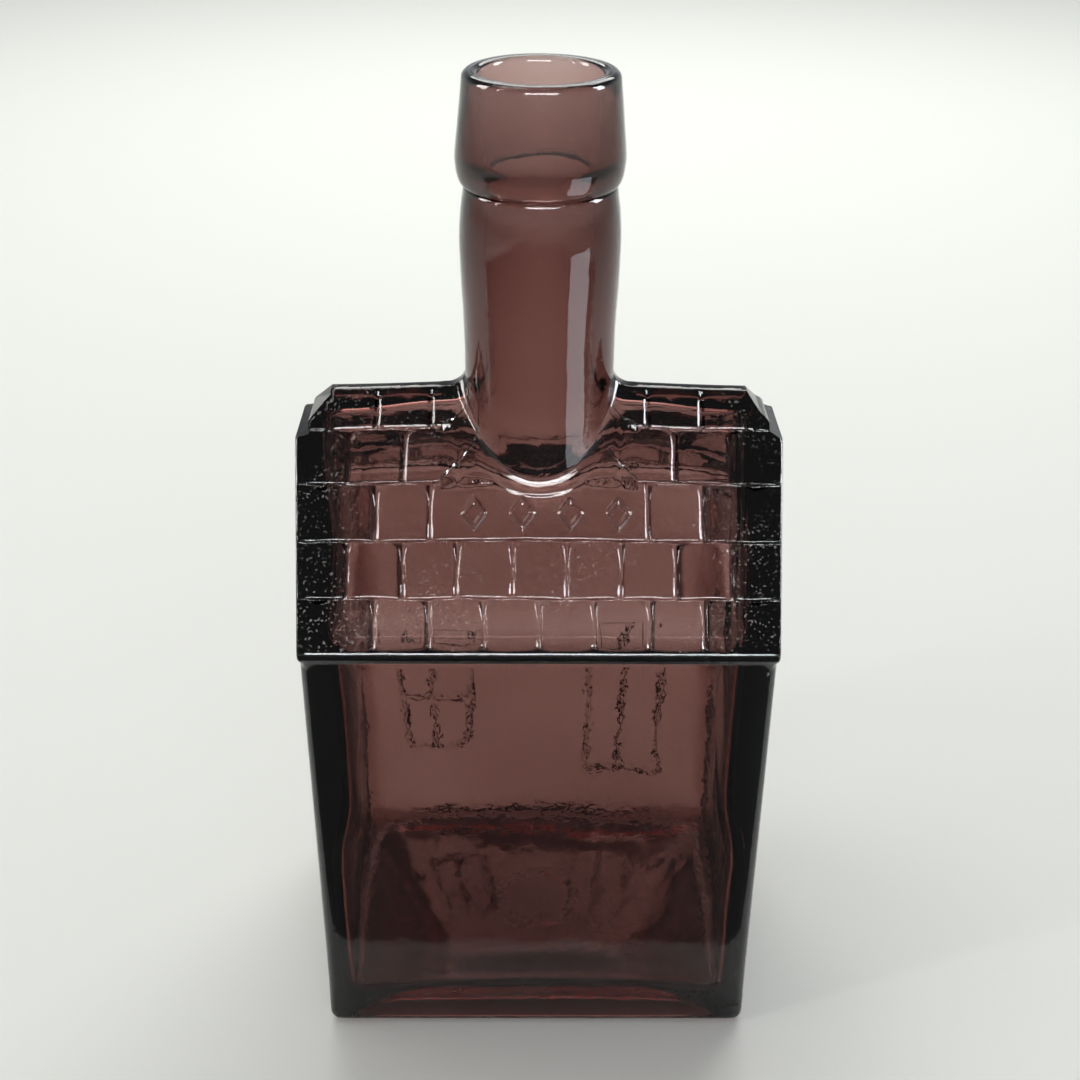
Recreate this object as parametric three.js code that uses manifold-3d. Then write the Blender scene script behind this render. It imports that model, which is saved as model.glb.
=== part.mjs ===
// A mould-blown glass flask in the shape of a cabin, with a shingled roof, a round neck
// and a collar of glass laid round its mouth. Millimetres, +Z up, front towards -Y.
// The origin is the middle of the foot, on the surface that the flask stands on.

import * as THREE from 'three';
import { mergeVertices } from 'three/addons/utils/BufferGeometryUtils.js';
import Module from 'manifold-3d';

// Walls of the cabin
const bodyWidth = 91.2;
const bodyDepth = 70;
const wallCorner = 3.2;
const heelRadius = 2.6;

// Roof
const eaveHeight = 98.4;
const eaveReach = 1.1;
const eaveNose = 1.9;
const gableLean = 1.55;
const rakeEdge = 0.9;
const ridgeHeight = 137;
const ridgeFlat = 2.6;
const ridgeBevelRun = 7.6;
const ridgeBevelDrop = 8.6;
const ridgeRise = 1.4;
const ridgeRiseWidth = 27;
const courseStep = 0.45;
const courseShares = [0, 0.155, 0.365, 0.583, 0.796, 1];

// Shingles, with staggered upright joints, and a plain panel with raised lozenges
const shinglePitch = 10.42;
const jointWidth = 0.9;
const jointDepth = 0.4;
const jointRidgeGap = 1.6;
const jointRakeGap = 2.4;
const panelWidth = 35.5;
const panelPlace = 2.6;
const lozengeWidth = 5.4;
const lozengeHeight = 7.4;
const lozengeRelief = 0.7;
const lozengeEdge = 0.9;
const lozengeSpacing = 9.2;
const lozengePlace = 1.4;

// Neck and mouth
const flaskHeight = 197;
const mouthRadius = 11;
const boreRadius = 9.9;
const boreLedgeDrop = 16;
const boreLedgeHeight = 2;
const neckFootRadius = 14.35;
const neckFillet = 3.4;
const neckWaistShare = 0.18;
const neckBellyRadius = 15;
const neckBellyShare = 0.705;
const neckTopRadius = 14.1;
const mouthRound = 1.1;

// Collar laid round the mouth
const collarHeight = 19.6;
const collarSeatRadius = 12.7;
const collarFootRadius = 14.2;
const collarWidestRadius = 15.65;
const collarWidestAbove = 5;
const collarRollShare = 0.25;
const collarLipRadius = 14.3;
const collarLipRound = 1.3;
const collarLipShare = 0.3;
const collarGap = 0.05;

// Thickness of the glass
const sideWall = 5.2;
const lowSideWall = 2.5;
const thickAbove = 60;
const thinBelow = 44;
const faceWall = 3.7;
const roofWall = 3.2;
const floorWall = 4.4;
const heelWall = 3;

// Hollow
const hollowCorner = 5.5;
const hollowFloorRound = 5;
const hollowRidge = 3;
const throatDepth = 24;

// Push-up under the foot
const kickHeight = 5.5;
const kickTop = 28;
const kickCorner = 9;
const footBand = 4.5;

// Scar that the blowing rod left under the foot
const scarRadius = 9;
const scarWidth = 2.6;
const scarDepth = 1.1;
const scarWander = 0.5;
const scarRootShare = 0.25;
const scarGap = 0.05;

// Window and door in raised lines on the back wall
const beadWidth = 1.3;
const beadRelief = 0.7;
const openingRound = 2.4;
const windowWidth = 17;
const windowHeight = 32.5;
const windowSill = 25.5;
const windowPlace = -24.5;
const doorWidth = 18.5;
const doorHeight = 50;
const doorSill = 16;
const doorPlace = 21.5;
const barShare = 0.5;

// One overrun serves all cuts.
const overrun = 2;

// Counts, without a unit
const courseCount = courseShares.length - 1;
const panelCourse = 2;
const lozengeCount = 4;
const cornerSteps = 5;
const eaveSteps = 4;
const eaveTurn = 34;
const roundSegments = 40;
const roofSteps = 18;
const hollowSteps = 7;
const waistSteps = 8;
const scarWaves = 5;
const halfTurn = 180;

const glass = new THREE.MeshStandardMaterial({ color: 0x6b4540, roughness: 0.05, metalness: 0 });
const collarGlass = new THREE.MeshStandardMaterial({ color: 0x5f3b37, roughness: 0.06, metalness: 0 });
const scarGlass = new THREE.MeshStandardMaterial({ color: 0x7a5a50, roughness: 0.6, metalness: 0 });

const wasm = await Module();
wasm.setup();

// A closed geometry becomes a solid that can be joined and cut, and back again.
function toSolid(geometry) {
  const bare = geometry.clone();
  bare.deleteAttribute('normal');
  bare.deleteAttribute('uv');
  const merged = mergeVertices(bare);
  const vertProperties = new Float32Array(merged.attributes.position.array);
  const triVerts = new Uint32Array(merged.index.array);
  return new wasm.Manifold(new wasm.Mesh({ numProp: 3, vertProperties, triVerts }));
}

function toGeometry(solid) {
  const mesh = solid.getMesh();
  const geometry = new THREE.BufferGeometry();
  geometry.setAttribute('position', new THREE.BufferAttribute(new Float32Array(mesh.vertProperties), 3));
  geometry.setIndex(new THREE.BufferAttribute(new Uint32Array(mesh.triVerts), 1));
  geometry.computeVertexNormals();
  return geometry;
}

// Moves each point of a geometry to where move(x, y, z) says.
function reshape(geometry, move) {
  const place = geometry.attributes.position;
  for (let i = 0; i < place.count; i += 1) {
    place.setXYZ(i, ...move(place.getX(i), place.getY(i), place.getZ(i)));
  }
  return geometry;
}

function roundedRectangle(width, depth, radius) {
  const x = width / 2 - radius;
  const y = depth / 2 - radius;
  const quarter = Math.PI / 2;
  const shape = new THREE.Shape();
  shape.absarc(x, y, radius, 0, quarter, false);
  shape.absarc(-x, y, radius, quarter, 2 * quarter, false);
  shape.absarc(-x, -y, radius, 2 * quarter, 3 * quarter, false);
  shape.absarc(x, -y, radius, 3 * quarter, 4 * quarter, false);
  return shape;
}

// A block on a rounded rectangle with one ring of points at each height. The ring is drawn
// in by drawIn(height), which gives how far across and how far deep, on each side.
function ringBlock(width, depth, radius, heights, drawIn) {
  const levels = heights.length - 1;
  const geometry = new THREE.ExtrudeGeometry(roundedRectangle(width, depth, radius), {
    depth: levels, steps: levels, bevelEnabled: false, curveSegments: cornerSteps,
  });
  return toSolid(reshape(geometry, (x, y, level) => {
    const height = heights[Math.round(level)];
    const [across, deep] = drawIn(height);
    return [x * (1 - (2 * across) / width), y * (1 - (2 * deep) / depth), height];
  }));
}

// How far a round edge is drawn in, at a distance from the flat face that it ends on.
function roundInset(radius, distance) {
  const short = Math.max(radius - distance, 0);
  return radius - Math.sqrt(radius * radius - short * short);
}

// Heights that follow a round edge up from low, and then go on in even steps to high.
function roundedHeights(low, radius, high, steps) {
  const round = Array.from({ length: cornerSteps + 1 }, (_, i) => {
    const turn = (i / cornerSteps) * (Math.PI / 2);
    return low + radius * (1 - Math.cos(turn));
  });
  const straight = high - low - radius;
  const rest = Array.from({ length: steps }, (_, i) => low + radius + (straight * (i + 1)) / steps);
  return [...round, ...rest];
}

function latheOf(points) {
  const profile = points.map(([radius, height]) => new THREE.Vector2(radius, height));
  return new THREE.LatheGeometry(profile, roundSegments).rotateX(Math.PI / 2);
}

// The roof's slopes run from the ridge to the tip of the eave.
const slopeRun = bodyDepth / 2 + eaveReach - ridgeFlat / 2;
const slopeDrop = ridgeHeight - eaveHeight;
const slopeLength = Math.hypot(slopeRun, slopeDrop);

// The eave's nose is round, from the slope's face to its underside, which hollows out into the
// wall. The walls end where that hollow does.
const noseFrom = Math.atan2(slopeRun, slopeDrop);
const noseTo = -THREE.MathUtils.degToRad(eaveTurn);
const noseMiddle = [bodyDepth / 2 + eaveReach - eaveNose, eaveHeight - eaveNose * Math.tan(noseFrom / 2)];
const underNose = (noseMiddle[0] + eaveNose * Math.cos(noseTo) - bodyDepth / 2) / (1 - Math.cos(noseTo));
const wallHeight = noseMiddle[1] + (eaveNose + underNose) * Math.sin(noseTo);

// How far a gable end leans out over the walls at a height, up to the bevels of the ridge.
function leanAt(z) {
  return (gableLean * Math.max(z - eaveHeight, 0)) / (slopeDrop - ridgeBevelDrop);
}

// How far the ridge climbs towards the neck, fading down the slope.
function riseAt(x, share) {
  return ridgeRise * (1 - share) * Math.exp(-((x / ridgeRiseWidth) ** 2));
}

function slopeShare(y) {
  return THREE.MathUtils.clamp((Math.abs(y) - ridgeFlat / 2) / slopeRun, 0, 1);
}

// A point on the back slope: along the ridge, a share of the way down, and proud of the face
// of the course that it lies on.
function onSlope(x, share, proud) {
  const run = slopeRun * share + (slopeDrop * proud) / slopeLength;
  const drop = slopeDrop * share - (slopeRun * proud) / slopeLength;
  return [x, ridgeFlat / 2 + run, ridgeHeight - drop + riseAt(x, share)];
}

// How far a course's face lies under the slope's plane. Only its lower edge reaches the plane.
function courseSink(course, share) {
  const height = courseShares[course + 1] - courseShares[course];
  return course > 0 ? (courseStep * (courseShares[course + 1] - share)) / height : 0;
}

function roofHeightAt(x, y) {
  const share = slopeShare(y);
  return ridgeHeight - slopeDrop * share + riseAt(x, share);
}

// Half the depth of a slope's flat face at a height, before anything is taken off it.
function slopeReach(z) {
  return ridgeFlat / 2 + (slopeRun * (ridgeHeight - z)) / slopeDrop;
}

// Walls with round corners and a round heel, up into the eave.
function walls() {
  const top = wallHeight + eaveNose / 2;
  return ringBlock(bodyWidth, bodyDepth, wallCorner, roundedHeights(0, heelRadius, top, 1), (z) => {
    const heel = roundInset(heelRadius, z);
    return [heel, heel];
  });
}

// The outline of the eave, round its nose and down its hollow underside to the wall.
function eaveSide() {
  const nose = Array.from({ length: eaveSteps + 1 }, (_, i) => {
    const turn = noseFrom + ((noseTo - noseFrom) * i) / eaveSteps;
    return [noseMiddle[0] + eaveNose * Math.cos(turn), noseMiddle[1] + eaveNose * Math.sin(turn)];
  });
  const under = Array.from({ length: eaveSteps }, (_, i) => {
    const turn = noseTo * (1 - (i + 1) / eaveSteps);
    const out = bodyDepth / 2 + underNose * (1 - Math.cos(turn));
    return [out, wallHeight - underNose * Math.sin(turn)];
  });
  return [...nose, ...under];
}

// One side of the gable's outline, from the ridge down the courses of shingles to the wall.
// Each course starts one step below the face that the one above it ends on.
function gableSide() {
  const stepIn = [(-slopeDrop * courseStep) / slopeLength, (-slopeRun * courseStep) / slopeLength];
  const points = [[ridgeFlat / 2, ridgeHeight]];
  for (let course = 1; course < courseCount; course += 1) {
    const share = courseShares[course];
    const low = [ridgeFlat / 2 + slopeRun * share, ridgeHeight - slopeDrop * share];
    points.push(low, [low[0] + stepIn[0], low[1] + stepIn[1]]);
  }
  return [...points, ...eaveSide()];
}

// The roof: the gable's outline run from rake to rake, climbing towards the neck.
function roof() {
  const side = gableSide();
  const outline = [...side.map(([y, z]) => [-y, z]).reverse(), ...side].reverse();
  const shape = new THREE.Shape(outline.map(([y, z]) => new THREE.Vector2(y, z)));
  const length = bodyWidth - 2 * rakeEdge;
  const geometry = new THREE.ExtrudeGeometry(shape, {
    depth: length,
    steps: roofSteps,
    bevelEnabled: true,
    bevelThickness: rakeEdge,
    bevelSize: rakeEdge,
    bevelOffset: -rakeEdge,
    bevelSegments: 2,
  });
  return toSolid(reshape(geometry, (along, up, out) => {
    const x = (out - length / 2) * (1 + (2 * leanAt(up)) / bodyWidth);
    return [x, along, up + riseAt(x, slopeShare(along))];
  }));
}

// One V-shaped joint between two shingles of a course, open at the course's lower edge.
function jointCut(x, course) {
  const top = course > 0 ? courseShares[course] : jointRidgeGap / slopeLength;
  const low = courseShares[course + 1] + jointWidth / slopeLength;
  const shape = new THREE.Shape([
    new THREE.Vector2(x - jointWidth, jointDepth),
    new THREE.Vector2(x, -jointDepth),
    new THREE.Vector2(x + jointWidth, jointDepth),
  ]);
  const geometry = new THREE.ExtrudeGeometry(shape, { depth: 1, bevelEnabled: false });
  return toSolid(reshape(geometry, (across, proud, up) => {
    const share = low + (top - low) * up;
    return onSlope(across, share, proud - courseSink(course, share));
  }));
}

// All joints of the back slope, or of the front slope, which is left plain at its panel.
function joints(front) {
  const reach = bodyWidth / 2 - jointRakeGap;
  const columns = Math.ceil(reach / shinglePitch);
  const cuts = [];
  for (let course = 0; course < courseCount; course += 1) {
    const shift = course % 2 === 0 ? 0 : shinglePitch / 2;
    for (let column = -columns; column <= columns; column += 1) {
      const x = column * shinglePitch + shift;
      const plain = front && course === panelCourse && Math.abs(x + panelPlace) < panelWidth / 2;
      if (Math.abs(x) < reach && !plain) {
        cuts.push(jointCut(x, course));
      }
    }
  }
  const all = wasm.Manifold.union(cuts);
  return front ? all.rotate([0, 0, halfTurn]) : all;
}

// The raised lozenges of the front slope's panel.
function lozenges() {
  const share = (courseShares[panelCourse] + courseShares[panelCourse + 1]) / 2;
  const width = lozengeWidth / 2;
  const height = lozengeHeight / 2;
  const shape = new THREE.Shape([
    new THREE.Vector2(-width, 0),
    new THREE.Vector2(0, -height),
    new THREE.Vector2(width, 0),
    new THREE.Vector2(0, height),
  ]);
  const row = Array.from({ length: lozengeCount }, (_, i) => {
    const place = (i - (lozengeCount - 1) / 2) * lozengeSpacing - lozengePlace;
    const geometry = new THREE.ExtrudeGeometry(shape, {
      depth: roofWall / 2,
      bevelThickness: lozengeRelief,
      bevelSize: lozengeEdge,
      bevelOffset: -lozengeEdge,
      bevelSegments: 1,
    });
    return toSolid(reshape(geometry, (x, down, out) => {
      return onSlope(x + place, share + down / slopeLength, out - roofWall / 2);
    }));
  });
  return wasm.Manifold.union(row).rotate([0, 0, halfTurn]);
}

// The wedge that bevels one end of the ridge.
function ridgeBevel(side) {
  const end = bodyWidth / 2 + gableLean;
  const shape = new THREE.Shape([
    new THREE.Vector2(end - 2 * ridgeBevelRun, ridgeHeight + ridgeBevelDrop),
    new THREE.Vector2(end + ridgeBevelRun, ridgeHeight - 2 * ridgeBevelDrop),
    new THREE.Vector2(end + ridgeBevelRun, ridgeHeight + ridgeBevelDrop),
  ]);
  const geometry = new THREE.ExtrudeGeometry(shape, { depth: bodyDepth, bevelEnabled: false });
  geometry.translate(0, 0, -bodyDepth / 2).rotateX(Math.PI / 2);
  return toSolid(side > 0 ? geometry : geometry.rotateZ(Math.PI));
}

// The neck up to the mouth. Its foot flares out and follows the roof round.
function neck() {
  const seat = flaskHeight - collarHeight;
  const foot = ridgeHeight + neckFillet;
  const waistHeight = foot + (seat - foot) * neckWaistShare;
  const bellyHeight = foot + (seat - foot) * neckBellyShare;
  const fillet = Array.from({ length: cornerSteps + 1 }, (_, i) => {
    const turn = (i / cornerSteps) * (Math.PI / 2);
    const radius = neckFootRadius + neckFillet * (1 - Math.sin(turn));
    return [radius, ridgeHeight + neckFillet * (1 - Math.cos(turn))];
  });
  const waist = new THREE.SplineCurve([
    new THREE.Vector2(neckFootRadius, waistHeight),
    new THREE.Vector2((neckFootRadius + neckBellyRadius) / 2, (waistHeight + bellyHeight) / 2),
    new THREE.Vector2(neckBellyRadius, bellyHeight),
    new THREE.Vector2(neckTopRadius, seat),
  ]);
  const geometry = latheOf([
    [0, ridgeHeight - roofWall],
    [neckFootRadius + neckFillet, ridgeHeight - roofWall],
    ...fillet,
    ...waist.getPoints(waistSteps).map((point) => [point.x, point.y]),
    [collarSeatRadius, seat],
    [collarSeatRadius, flaskHeight],
    [0, flaskHeight],
  ]);
  return toSolid(reshape(geometry, (x, y, z) => {
    const drop = z < waistHeight ? roofHeightAt(x, y) - ridgeHeight : 0;
    return [x, y, z + drop];
  }));
}

// A push-up dome with a flat top, grown on all sides by a wall's thickness.
function pushUp(low, grow) {
  const width = bodyWidth - 2 * footBand + 2 * grow;
  const depth = bodyDepth - 2 * footBand + 2 * grow;
  const height = kickHeight + grow;
  const heights = [low, ...Array.from({ length: cornerSteps + 1 }, (_, i) => {
    return height * Math.sin((i / cornerSteps) * (Math.PI / 2));
  }).filter((z) => z > low)];
  return ringBlock(width, depth, kickCorner, heights, (z) => {
    const share = THREE.MathUtils.clamp(z / height, 0, 1);
    const round = 1 - Math.sqrt(1 - share * share);
    return [((width - kickTop) / 2) * round, ((depth - kickTop) / 2) * round];
  });
}

// The hollow inside the walls, narrowing under the roof.
function hollow() {
  const width = bodyWidth - 2 * lowSideWall;
  const depth = bodyDepth - 2 * faceWall;
  const wallRun = (roofWall * slopeLength) / slopeDrop;
  const ridge = ridgeHeight - (slopeDrop * (wallRun + hollowRidge / 2 - ridgeFlat / 2)) / slopeRun;
  const underRoof = wallHeight - faceWall;
  const heights = roundedHeights(heelWall, hollowFloorRound, underRoof, hollowSteps);
  for (let i = 1; i <= hollowSteps; i += 1) {
    heights.push(underRoof + ((ridge - underRoof) * i) / hollowSteps);
  }
  const block = ringBlock(width, depth, hollowCorner, heights, (z) => {
    const floor = roundInset(hollowFloorRound, z - heelWall);
    const thicker = (sideWall - lowSideWall) * THREE.MathUtils.smoothstep(z, thinBelow, thickAbove);
    const slope = Math.max(depth / 2 - slopeReach(z) + wallRun, 0);
    return [floor + thicker, floor + slope];
  });
  return block.subtract(pushUp(-overrun, floorWall));
}

// The bore of the neck, down into the hollow. It widens over a ledge inside the collar, and
// has a round edge at the mouth.
function bore() {
  const ledge = flaskHeight - boreLedgeDrop;
  return toSolid(latheOf([
    [0, ridgeHeight - throatDepth],
    [boreRadius, ridgeHeight - throatDepth],
    [boreRadius, ledge - boreLedgeHeight],
    [mouthRadius, ledge],
    [mouthRadius, flaskHeight - mouthRound],
    [mouthRadius + mouthRound / 2, flaskHeight],
    [mouthRadius + mouthRound / 2, flaskHeight + overrun],
    [0, flaskHeight + overrun],
  ]));
}

// A raised line round an opening drawn on the back wall, with bars across it.
function raisedOpening(width, height, sill, place, bars) {
  const frame = roundedRectangle(width, height, openingRound);
  const inner = roundedRectangle(width - 2 * beadWidth, height - 2 * beadWidth, openingRound - beadWidth);
  frame.holes.push(new THREE.Path(inner.getPoints(cornerSteps).reverse()));
  const thickness = faceWall / 2 + beadRelief;
  const depth = { depth: thickness, bevelEnabled: false, curveSegments: cornerSteps };
  let lines = toSolid(new THREE.ExtrudeGeometry(frame, depth));
  for (const [across, up, long, high] of bars) {
    const bar = new THREE.BoxGeometry(long, high, thickness);
    lines = lines.add(toSolid(bar.translate(across, up, thickness / 2)));
  }
  const standing = toGeometry(lines).rotateX(Math.PI / 2).rotateZ(Math.PI);
  return toSolid(standing.translate(place, bodyDepth / 2 - faceWall / 2, sill + height / 2));
}

function backWindow() {
  const middle = windowHeight * barShare - windowHeight / 2;
  return raisedOpening(windowWidth, windowHeight, windowSill, windowPlace, [
    [0, 0, beadWidth, windowHeight - beadWidth],
    [0, middle, windowWidth - beadWidth, beadWidth],
  ]);
}

function backDoor() {
  return raisedOpening(doorWidth, doorHeight, doorSill, doorPlace, [
    [0, 0, beadWidth, doorHeight - beadWidth],
  ]);
}

// The flask itself, blown in one piece of glass.
function flask() {
  const shingled = roof().subtract(joints(true)).subtract(joints(false)).add(lozenges());
  const outside = walls()
    .add(shingled.subtract(ridgeBevel(1)).subtract(ridgeBevel(-1)))
    .add(neck())
    .add(backWindow())
    .add(backDoor());
  return outside
    .subtract(hollow())
    .subtract(bore())
    .subtract(pushUp(-overrun, 0));
}

// The collar, a band of glass laid round the end of the neck.
function collar() {
  const foot = flaskHeight - collarHeight + collarGap;
  const seat = collarSeatRadius + collarGap;
  const lip = flaskHeight - collarLipRound;
  const swell = new THREE.QuadraticBezierCurve(
    new THREE.Vector2(collarFootRadius, foot),
    new THREE.Vector2(collarWidestRadius, foot + collarWidestAbove * collarRollShare),
    new THREE.Vector2(collarWidestRadius, foot + collarWidestAbove),
  );
  return latheOf([
    [seat, foot],
    ...swell.getPoints(cornerSteps).map((point) => [point.x, point.y]),
    [collarLipRadius, lip],
    [collarLipRadius - collarLipRound * collarLipShare, flaskHeight - collarLipRound * collarLipShare],
    [collarLipRadius - collarLipRound, flaskHeight],
    [seat, flaskHeight],
    [seat, foot],
  ]);
}

// The ragged ring of glass that was left where the rod was broken off.
function scar() {
  const inside = scarRadius - scarWidth / 2;
  const outside = scarRadius + scarWidth / 2;
  const top = kickHeight - scarGap;
  const ring = latheOf([
    [inside, top],
    [inside, top - scarDepth / 2],
    [scarRadius, top - scarDepth],
    [outside, top - scarDepth / 2],
    [outside, top],
    [inside, top],
  ]);
  return reshape(ring, (x, y, z) => {
    const turn = Math.atan2(y, x);
    const grow = 1 + (scarWander / scarRadius) * Math.sin(scarWaves * turn);
    const ragged = z < top - scarDepth * scarRootShare ? (scarWander / 2) * Math.cos((scarWaves - 2) * turn) : 0;
    return [x * grow, y * grow, z + ragged];
  });
}

function named(name, geometry, material) {
  const mesh = new THREE.Mesh(geometry, material);
  mesh.name = name;
  return mesh;
}

const bottle = new THREE.Group();
bottle.add(named('flask_body', toGeometry(flask()), glass));
bottle.add(named('applied_collar', collar(), collarGlass));
bottle.add(named('pontil_scar', scar(), scarGlass));

export default bottle;
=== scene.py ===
"""A mould-blown glass flask in the shape of a cabin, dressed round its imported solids.

The cabin and its neck are one closed skin of glass: outside, over the mouth and round the
hollow. The collar and the scar under the foot are glass of their own, sunk a hair into it.
"""

import math

import bmesh
import bpy
from mathutils import Matrix, Vector, noise


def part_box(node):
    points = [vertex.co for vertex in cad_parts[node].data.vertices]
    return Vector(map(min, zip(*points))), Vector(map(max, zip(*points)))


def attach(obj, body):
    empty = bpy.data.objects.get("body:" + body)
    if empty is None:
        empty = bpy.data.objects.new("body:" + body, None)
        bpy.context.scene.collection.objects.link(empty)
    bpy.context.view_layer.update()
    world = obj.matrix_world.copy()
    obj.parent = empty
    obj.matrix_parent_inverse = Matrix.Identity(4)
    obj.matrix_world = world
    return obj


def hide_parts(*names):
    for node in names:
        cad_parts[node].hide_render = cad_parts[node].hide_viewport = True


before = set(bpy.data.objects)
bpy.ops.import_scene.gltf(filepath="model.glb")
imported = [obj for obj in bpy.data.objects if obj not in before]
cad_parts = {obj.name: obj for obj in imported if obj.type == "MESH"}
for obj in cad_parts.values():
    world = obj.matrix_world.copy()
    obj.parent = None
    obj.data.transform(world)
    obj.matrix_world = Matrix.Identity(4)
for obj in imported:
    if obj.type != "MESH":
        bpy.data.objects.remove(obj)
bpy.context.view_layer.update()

bl_info = {
    "name": "Cabin flask",
    "version": (1, 0, 0),
    "blender": (4, 5, 0),
    "location": "View3D > Sidebar > Cabin flask",
    "description": "Builds a cabin-shaped glass flask, its collar and its scar, and a studio round them",
    "category": "Add Mesh",
}

BODY = "root"
MM = 0.001
HALF_TURN = math.pi
QUARTER = math.pi / 2

# Shingles: down a course, and across half a shingle, rows and columns crowd at the edges.
COURSE_SHARES = (0, 0.155, 0.365, 0.583, 0.796, 1)
COURSE_ROWS = (0, 0.02, 0.045, 0.08, 0.13, 0.2, 0.3, 0.42, 0.55, 0.68, 0.79, 0.87, 0.925, 0.945, 0.97, 0.99)
COLUMN_SHARES = (0, 0.048, 0.105, 0.182, 0.325, 0.5, 0.675, 0.818, 0.895, 0.952)
HALF_SHINGLES = 12
COLUMN_MARGIN = 1.2 * MM
END_COLUMNS = 6
NECK_BLOCK_COLUMNS = 36
NECK_BLOCK_DOWN = 23 * MM

# Courses: the lip over a lower edge starts and is full at these heights. Joints are soft.
LIP_START = 2.6 * MM
LIP_FULL = 0.6 * MM
JOINT_SHARE = 0.52
CORNER_SHARE = 0.8
CORNER_SOFT = 0.35 * MM
PANEL_COURSE = 2
ROOF_SKIN = 1.5 * MM
TINY = 1e-6

# Lozenges: their bead runs inside the edge, and the rest of the relief is their face.
LOZENGES = 4
LOZENGE_EDGE = (-0.1 * MM, 0.6 * MM)
LOZENGE_BEAD_PLACE = 0.55 * MM
LOZENGE_BEAD = 0.4 * MM
LOZENGE_MARGIN = 0.6 * MM
LOZENGE_REACH = 0.5 * MM
FACE_SHARE = 0.4

# Rows of the gable's outline, from the ridge down to the middle of the foot
RIDGE_STEPS = 3
RIDGE_CLEAR = 1.3
EAVE_CLEAR = 1.2
NOSE_STEPS = 9
UNDER_STEPS = 5
WALL_TOP_DROPS = tuple(drop * MM for drop in (0, 0.5, 1.2, 2.4, 4.5))
WALL_STEP = 1.8 * MM
WALL_LOW = 15 * MM
WALL_LOW_HEIGHTS = tuple(height * MM for height in (11.5, 9.5, 7.5, 5.5, 4))
HEEL_STEPS = 6
HEEL_SHARE = 0.92
HEEL_CALM = 12 * MM
FOOT_EDGE = 30.5 * MM
FOOT_REACHES = tuple(
    reach * MM for reach in (31.4, 30.5, 29.8, 28.7, 27, 24.5, 21.5, 18.5, 15.5, 12.5, 8.5, 4.5, 0))

# Where relief and stray fade in and out along the ridge, down the slopes and on the walls
COLUMNS_KEPT = 34 * MM
ROOF_FADE = 2 * MM
RAKE_FADE = 1.6 * MM
STRAY_START = (19 * MM, 25 * MM)
STRAY_END = (44 * MM, 40 * MM)
STRAY_EDGE = 6 * MM
WALL_RIPPLE = 0.12 * MM
WALL_CALM_FOOT = (0, 12 * MM)
WALL_CALM_EAVE = (93 * MM, 84 * MM)
WALL_CALM_ENDS = (44 * MM, 38 * MM)

# Rings of the skin from the neck's foot over the mouth and down the hollow
FOOT_RINGS = 9
FILLET_RINGS = 8
SHAFT_RINGS = 7
THROAT_RINGS = 8
CEILING_RINGS = 14
ROUND_RINGS = 7
WALL_SHARES = (0.005, 0.01, 0.015, 0.02, 0.026, 0.034, 0.045, 0.06, 0.085, *((k + 2) / 18 for k in range(17)))
FLOOR_RINGS = 8
FLOOR_SHARE = 0.92
EAVE_NARROW = 0.45
TUCK = 0.9 * MM
TUCK_DOWN = 0.95 * MM
TUCK_STEPS = 5
MOUTH_STEPS = 5
LEDGE_STEPS = 6
LEDGE_RISE = 3.2 * MM
SUPPORT = 0.08 * MM
NECK_RIPPLE = 0.1 * MM
NECK_CALM = 8 * MM
OVER_SLOPE = 1.4

# The hollow: where its ceiling climbs, where it widens, and where it steps out over the eave
CLIMB_ALONG = (36 * MM, 16 * MM)
CLIMB_ACROSS = (12 * MM, 0)
WIDER_HEIGHTS = (108 * MM, 126 * MM)
WIDER_REACH = (20 * MM, 34 * MM)
STEP_START = (95.1 * MM, 96.8 * MM)
STEP_END = (113 * MM, 100 * MM)
STEP_REACH = (23 * MM, 29 * MM)
FLOOR_WALL_SHARE = 0.22
FLOOR_DOME_SHARE = 0.83
LEAST_CORNER = 1.5 * MM

# Collar and scar
MERGE = 0.0005 * MM
COLLAR_STEPS = 192
COLLAR_WIDEST_UP = 5 * MM
COLLAR_WOBBLE = 0.14 * MM
COLLAR_SKIN = 0.1 * MM
SCAR_STEPS = 140
SCAR_SIDES = 14
SCAR_INSET = 1.6 * MM
SCAR_HALF_WIDTH = 1.25 * MM
SCAR_HALF_HEIGHT = 0.55 * MM
SCAR_CHIP = 0.28 * MM

# Studio
FLOOR_SIZE = 6
FLOOR_PLACE = (0, 0, -0.05 * MM)
CARD_SIZE = 0.5
CARD_PLACE = (0, -0.56, 0.5 * MM)
# Painted shade: colour of the dark card that the glass mirrors in place of the shaded floor on the camera's
# side
PAINTED_SHADE_COLOUR = (0.13, 0.13, 0.13, 1)
DUST_COLOUR = (0.72, 0.64, 0.6, 1)
SENSOR = 36
CLIP = (0.01, 40)


def length(name, description, default):
    return bpy.props.FloatProperty(
        name=name, description=description, default=default * MM, unit="LENGTH", precision=4)


def angle_prop(name, description, degrees):
    return bpy.props.FloatProperty(
        name=name, description=description, default=math.radians(degrees), subtype="ANGLE")


def number_prop(name, description, default, low):
    return bpy.props.FloatProperty(name=name, description=description, default=default, min=low)


def colour_prop(name, description, default):
    return bpy.props.FloatVectorProperty(
        name=name, description=description, subtype="COLOR", size=3, min=0, max=1, default=default)


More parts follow.
